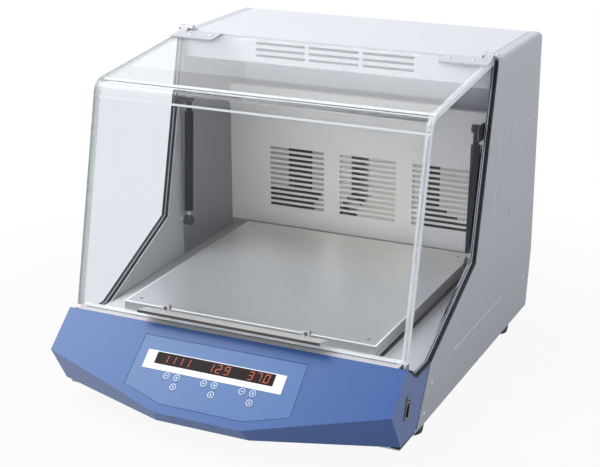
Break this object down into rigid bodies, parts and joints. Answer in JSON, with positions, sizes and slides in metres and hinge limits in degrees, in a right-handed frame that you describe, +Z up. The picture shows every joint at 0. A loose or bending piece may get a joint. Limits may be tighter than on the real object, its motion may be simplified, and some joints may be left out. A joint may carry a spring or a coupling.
{
  "type": "incubated benchtop shaker",
  "caption": "Benchtop incubator with a square table circling on an eccentric drive, under a clear hood that lifts on gas struts.",
  "frame": {"origin": "on the bench, under the middle of the outline", "axes": "+X to the right as seen from the front, +Y to the rear, +Z up"},
  "size_m": [0.58, 0.75, 0.5315],
  "materials": {
    "housing_paint": "semi-gloss powder coat",
    "cover_paint": "semi-gloss powder coat",
    "liner_paint": "satin powder coat",
    "floor_paint": "satin powder coat",
    "pan_steel": "zinc plated",
    "foot_rubber": "matte",
    "seal_rubber": "matte",
    "frame_steel": "zinc plated",
    "cast_housing": "as cast",
    "bearing_steel": "ground",
    "shaft_steel": "turned",
    "pulley_alloy": "machined",
    "motor_black": "satin",
    "belt_rubber": "matte",
    "table_steel": "satin",
    "fan_metal": "satin",
    "heater_tube": "heat tinted",
    "supply_case": "zinc plated",
    "inlet_black": "satin",
    "console_blue": "satin",
    "board_green": "satin",
    "keypad_film": "satin film",
    "surround_white": "satin",
    "window_smoke": "gloss",
    "key_blue": "satin",
    "switch_black": "satin",
    "clear_sheet": "clear gloss",
    "grip_alloy": "anodised",
    "screw_steel": "plated",
    "hinge_alloy": "anodised",
    "strut_black": "satin",
    "rod_steel": "ground",
    "bracket_steel": "dark plated"
  },
  "bodies": {
    "housing": {"left_side_panel": "housing_paint", "right_side_panel": "housing_paint", "rear_panel": "housing_paint", "top_cover": "cover_paint", "header_panel": "cover_paint", "left_liner": "liner_paint", "right_liner": "liner_paint", "upper_liner": "liner_paint", "louvre_panel": "liner_paint", "chamber_floor": "floor_paint", "base_pan": "pan_steel", "rubber_feet": "foot_rubber", "hood_seals": "seal_rubber", "drive_frame": "frame_steel", "bearing_housings": "cast_housing", "shaft_bearings": "bearing_steel", "drive_motor": "motor_black", "fan_motor": "motor_black", "drive_belt": "belt_rubber", "heater_coil": "heater_tube", "power_supply": "supply_case", "mains_inlet": "inlet_black", "console_casing": "console_blue", "control_board": "board_green", "keypad_panel": "keypad_film", "display_frame": "surround_white", "display_window": "window_smoke", "switch_housing": "switch_black", "housing_screws": "screw_steel", "hinge_blocks": "hinge_alloy"},
    "drive": {"drive_shaft": "shaft_steel", "drive_pulley": "pulley_alloy"},
    "table": {"table_carrier": "cast_housing", "table_plate": "table_steel"},
    "idler_1": {"idler_crank_1": "shaft_steel"},
    "idler_2": {"idler_crank_2": "shaft_steel"},
    "idler_3": {"idler_crank_3": "shaft_steel"},
    "motor_rotor": {"motor_pulley": "pulley_alloy"},
    "fan": {"fan_impeller": "fan_metal"},
    "rocker": {"switch_rocker": "switch_black"},
    "hood": {"hood_shell": "clear_sheet", "hood_left_side": "clear_sheet", "hood_right_side": "clear_sheet", "hood_handle": "grip_alloy", "hood_screws": "screw_steel", "hinge_leaves": "hinge_alloy", "strut_brackets": "bracket_steel"},
    "left_rod": {"left_strut_rod": "rod_steel"},
    "left_cylinder": {"left_strut_cylinder": "strut_black"},
    "right_rod": {"right_strut_rod": "rod_steel"},
    "right_cylinder": {"right_strut_cylinder": "strut_black"},
    "time_down_button": {"time_down_key": "key_blue"},
    "time_up_button": {"time_up_key": "key_blue"},
    "time_start_button": {"time_start_key": "key_blue"},
    "speed_down_button": {"speed_down_key": "key_blue"},
    "speed_up_button": {"speed_up_key": "key_blue"},
    "speed_start_button": {"speed_start_key": "key_blue"},
    "heat_down_button": {"heat_down_key": "key_blue"},
    "heat_up_button": {"heat_up_key": "key_blue"},
    "heat_start_button": {"heat_start_key": "key_blue"}
  },
  "joints": [
    {"name": "drive_spin", "type": "hinge", "parent": "housing", "child": "drive", "pos_m": [0, 0.012, 0.06], "axis": [0, 0, 1], "continuous": true},
    {"name": "table_counter", "type": "hinge", "parent": "drive", "child": "table", "pos_m": [-0.00643, 0.01966, 0.125], "axis": [0, 0, 1], "continuous": true},
    {"name": "idler_1_spin", "type": "hinge", "parent": "housing", "child": "idler_1", "pos_m": [-0.15, -0.098, 0.07], "axis": [0, 0, 1], "continuous": true},
    {"name": "idler_2_spin", "type": "hinge", "parent": "housing", "child": "idler_2", "pos_m": [0.15, -0.098, 0.07], "axis": [0, 0, 1], "continuous": true},
    {"name": "idler_3_spin", "type": "hinge", "parent": "housing", "child": "idler_3", "pos_m": [0, 0.162, 0.07], "axis": [0, 0, 1], "continuous": true},
    {"name": "motor_spin", "type": "hinge", "parent": "housing", "child": "motor_rotor", "pos_m": [0.15, 0.132, 0.036], "axis": [0, 0, 1], "continuous": true},
    {"name": "fan_spin", "type": "hinge", "parent": "housing", "child": "fan", "pos_m": [0, 0.31, 0.23], "axis": [0, 1, 0], "continuous": true},
    {"name": "hood_hinge", "type": "hinge", "parent": "housing", "child": "hood", "pos_m": [0, 0.11, 0.527], "axis": [-1, 0, 0], "range_deg": [0, 70]},
    {"name": "left_strut_swing", "type": "hinge", "parent": "housing", "child": "left_rod", "pos_m": [-0.261, 0.075, 0.187], "axis": [1, 0, 0], "range_deg": [0, 17.81]},
    {"name": "left_strut_slide", "type": "slide", "parent": "left_rod", "child": "left_cylinder", "axis": [0, 0.0624, 0.9981], "range_m": [0, 0.10576]},
    {"name": "right_strut_swing", "type": "hinge", "parent": "housing", "child": "right_rod", "pos_m": [0.261, 0.075, 0.187], "axis": [1, 0, 0], "range_deg": [0, 17.81]},
    {"name": "right_strut_slide", "type": "slide", "parent": "right_rod", "child": "right_cylinder", "axis": [0, 0.0624, 0.9981], "range_m": [0, 0.10576]},
    {"name": "time_down_press", "type": "slide", "parent": "housing", "child": "time_down_button", "axis": [0, 0.6491, -0.7607], "range_m": [0, 0.0005], "stiffness_N_per_m": 400},
    {"name": "time_up_press", "type": "slide", "parent": "housing", "child": "time_up_button", "axis": [0, 0.6491, -0.7607], "range_m": [0, 0.0005], "stiffness_N_per_m": 400},
    {"name": "time_start_press", "type": "slide", "parent": "housing", "child": "time_start_button", "axis": [0, 0.6491, -0.7607], "range_m": [0, 0.0005], "stiffness_N_per_m": 400},
    {"name": "speed_down_press", "type": "slide", "parent": "housing", "child": "speed_down_button", "axis": [0, 0.6491, -0.7607], "range_m": [0, 0.0005], "stiffness_N_per_m": 400},
    {"name": "speed_up_press", "type": "slide", "parent": "housing", "child": "speed_up_button", "axis": [0, 0.6491, -0.7607], "range_m": [0, 0.0005], "stiffness_N_per_m": 400},
    {"name": "speed_start_press", "type": "slide", "parent": "housing", "child": "speed_start_button", "axis": [0, 0.6491, -0.7607], "range_m": [0, 0.0005], "stiffness_N_per_m": 400},
    {"name": "heat_down_press", "type": "slide", "parent": "housing", "child": "heat_down_button", "axis": [0, 0.6491, -0.7607], "range_m": [0, 0.0005], "stiffness_N_per_m": 400},
    {"name": "heat_up_press", "type": "slide", "parent": "housing", "child": "heat_up_button", "axis": [0, 0.6491, -0.7607], "range_m": [0, 0.0005], "stiffness_N_per_m": 400},
    {"name": "heat_start_press", "type": "slide", "parent": "housing", "child": "heat_start_button", "axis": [0, 0.6491, -0.7607], "range_m": [0, 0.0005], "stiffness_N_per_m": 400},
    {"name": "power_rocker", "type": "hinge", "parent": "housing", "child": "rocker", "pos_m": [0.2849, -0.263, 0.08], "axis": [0, -0.9336, 0.3584], "range_deg": [0, 14]}
  ],
  "couplings": [
    {"joint": "table_counter", "follows": "drive_spin", "ratio": -1},
    {"joint": "idler_1_spin", "follows": "drive_spin", "ratio": 1},
    {"joint": "idler_2_spin", "follows": "drive_spin", "ratio": 1},
    {"joint": "idler_3_spin", "follows": "drive_spin", "ratio": 1},
    {"joint": "motor_spin", "follows": "drive_spin", "ratio": 3},
    {"joint": "left_strut_swing", "follows": "hood_hinge", "ratio": 0.25443},
    {"joint": "left_strut_slide", "follows": "hood_hinge", "m_per_rad": 0.086565},
    {"joint": "right_strut_swing", "follows": "hood_hinge", "ratio": 0.25443},
    {"joint": "right_strut_slide", "follows": "hood_hinge", "m_per_rad": 0.086565}
  ]
}
